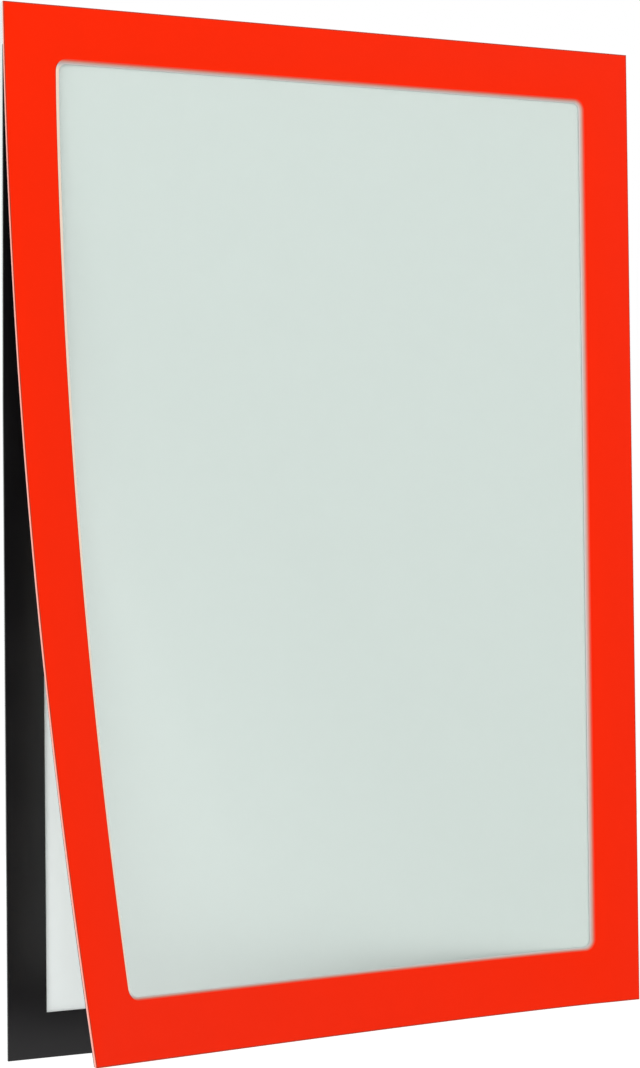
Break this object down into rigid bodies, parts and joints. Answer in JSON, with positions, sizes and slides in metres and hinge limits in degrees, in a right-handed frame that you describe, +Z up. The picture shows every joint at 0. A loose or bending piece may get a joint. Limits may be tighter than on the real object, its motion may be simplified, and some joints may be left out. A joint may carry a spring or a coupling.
{
  "type": "magnetic document frame",
  "caption": "Wall document frame: a flat back with a magnetic border and a flexible coloured front with a clear window, hinged on its right edge and peeled open at the lower left corner.",
  "frame": {"origin": "middle of the bottom mounting tape's rear face, on the wall plane", "axes": "+Z up along the frame's height, +Y out of the back into the wall, +X to the hinge side as the reader sees it"},
  "size_m": [0.2366, 0.0481, 0.3236],
  "materials": {
    "red_cover": "fine satin grain on opaque vinyl sheet, pale core at the cut edges",
    "window_film": "clear vinyl film with a low anti-glare sheen",
    "black_magnet": "smooth semi-gloss magnetic rubber strip",
    "dark_magnet": "satin magnetic rubber strip",
    "back_film": "clear film",
    "hinge_film": "thin clear polyester film",
    "paper": "blank uncoated paper, pale grey green",
    "adhesive": "dull adhesive tape"
  },
  "bodies": {
    "back": {"back_sheet": "back_film", "back_strip_top": "black_magnet", "back_strip_bottom": "black_magnet", "back_strip_left": "black_magnet", "back_strip_right": "black_magnet", "mounting_tape_top": "adhesive", "mounting_tape_bottom": "adhesive", "mounting_tape_left": "adhesive", "mounting_tape_right": "adhesive", "insert_sheet": "paper"},
    "front": {"front_cover": "red_cover", "window_film": "window_film", "front_strip_top": "dark_magnet", "front_strip_right": "dark_magnet", "hinge_film": "hinge_film"},
    "lower_corner": {"front_strip_left": "dark_magnet", "front_strip_bottom": "dark_magnet"}
  },
  "joints": [
    {"name": "front_hinge", "type": "hinge", "parent": "back", "child": "front", "pos_m": [0.1183, -0.0014, -0.0065], "axis": [0, 0, 1], "range_deg": [0, 165], "deforming": ["hinge_film"]},
    {"name": "corner_peel", "type": "hinge", "parent": "front", "child": "lower_corner", "pos_m": [0.1053, -0.0014, -0.0065], "axis": [-0.5685, 0, 0.8227], "range_deg": [-14.3, 12], "deforming": ["front_cover", "window_film", "front_strip_left", "front_strip_bottom"]}
  ]
}
